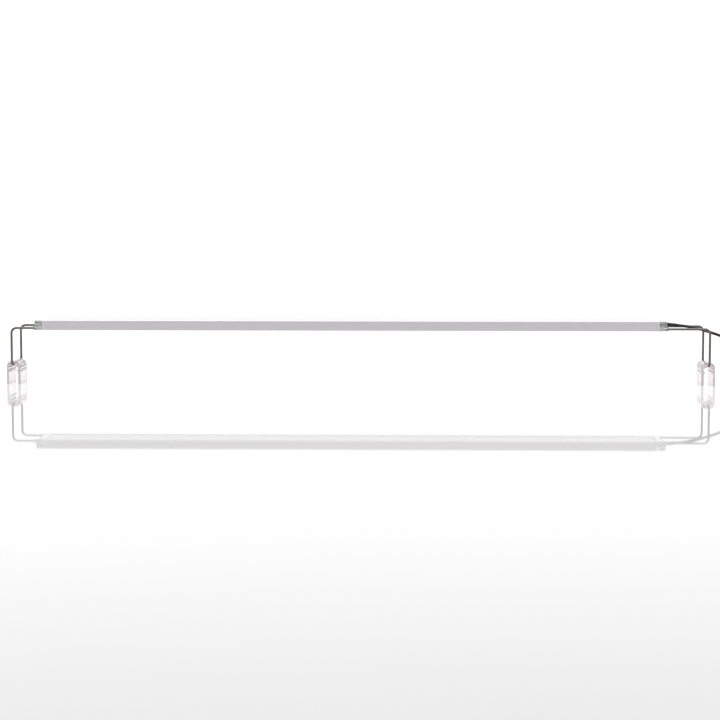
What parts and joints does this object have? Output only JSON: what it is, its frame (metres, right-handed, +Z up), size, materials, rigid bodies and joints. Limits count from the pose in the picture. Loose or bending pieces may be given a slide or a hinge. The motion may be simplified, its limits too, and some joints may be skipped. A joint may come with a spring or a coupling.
{
  "type": "led aquarium light",
  "caption": "Slim aluminium light bar on pull-out bent-wire stands, with clear end caps, clear clips that sit on a tank's rim, and a low-voltage cord with a barrel plug.",
  "frame": {"origin": "on the surface that the rim clips stand on, midway between the two clips and midway across the bar", "axes": "+X along the bar towards the end that the cord leaves, +Y from front to back, +Z up"},
  "size_m": [1.5186, 0.1, 0.1231],
  "materials": {
    "aluminium": "satin",
    "clear_acrylic": "clear gloss",
    "cover_acrylic": "clear gloss",
    "silicone": "matt",
    "black_rubber": "matt",
    "cord_jacket": "satin",
    "stainless_wire": "polished",
    "screw_steel": "satin",
    "thermal_pad": "matt",
    "white_board": "satin",
    "led_white": "satin",
    "led_blue": "satin",
    "chip": "satin",
    "solder": "satin",
    "terminal": "satin",
    "lead_red": "satin",
    "lead_black": "satin",
    "tie": "matt",
    "plug_plastic": "satin",
    "plug_insulator": "satin",
    "nickel": "polished"
  },
  "bodies": {
    "light_bar": {"housing_extrusion": "aluminium", "light_cover": "cover_acrylic", "cover_seals": "silicone", "end_cap_left": "clear_acrylic", "end_cap_right": "clear_acrylic", "end_gasket_left": "silicone", "end_gasket_right": "silicone", "cap_screws_left": "screw_steel", "cap_screws_right": "screw_steel", "wire_bushes_left": "black_rubber", "wire_bushes_right": "black_rubber", "thermal_pad": "thermal_pad", "led_board_left": "white_board", "led_board_right": "white_board", "white_leds": "led_white", "blue_leds": "led_blue", "board_resistors": "chip", "board_screws": "screw_steel", "board_jumpers": "solder", "terminal_block": "terminal", "lead_wire_red": "lead_red", "lead_wire_black": "lead_black", "cord_boot": "black_rubber", "power_cord": "cord_jacket", "power_cord_coil": "cord_jacket", "power_cord_tail": "cord_jacket", "cord_tie": "tie", "dc_plug_body": "plug_plastic", "dc_plug_barrel": "nickel", "dc_plug_insulator": "plug_insulator", "dc_plug_contact": "nickel"},
    "left_stand": {"stand_left": "stainless_wire", "wire_collars_left": "stainless_wire"},
    "right_stand": {"stand_right": "stainless_wire", "wire_collars_right": "stainless_wire"},
    "left_clip": {"rim_clip_left": "clear_acrylic"},
    "right_clip": {"rim_clip_right": "clear_acrylic"}
  },
  "joints": [
    {"name": "left_stand_slide", "type": "slide", "parent": "light_bar", "child": "left_stand", "axis": [-1, 0, 0], "range_m": [-0.0305, 0.0545]},
    {"name": "left_clip_swing", "type": "hinge", "parent": "left_stand", "child": "left_clip", "pos_m": [-0.6635, 0, 0.038], "axis": [0, 1, 0], "range_deg": [-90, 90]},
    {"name": "right_stand_slide", "type": "slide", "parent": "light_bar", "child": "right_stand", "axis": [1, 0, 0], "range_m": [-0.0665, 0.0185]},
    {"name": "right_clip_swing", "type": "hinge", "parent": "right_stand", "child": "right_clip", "pos_m": [0.6635, 0, 0.038], "axis": [0, 1, 0], "range_deg": [-90, 90]}
  ]
}
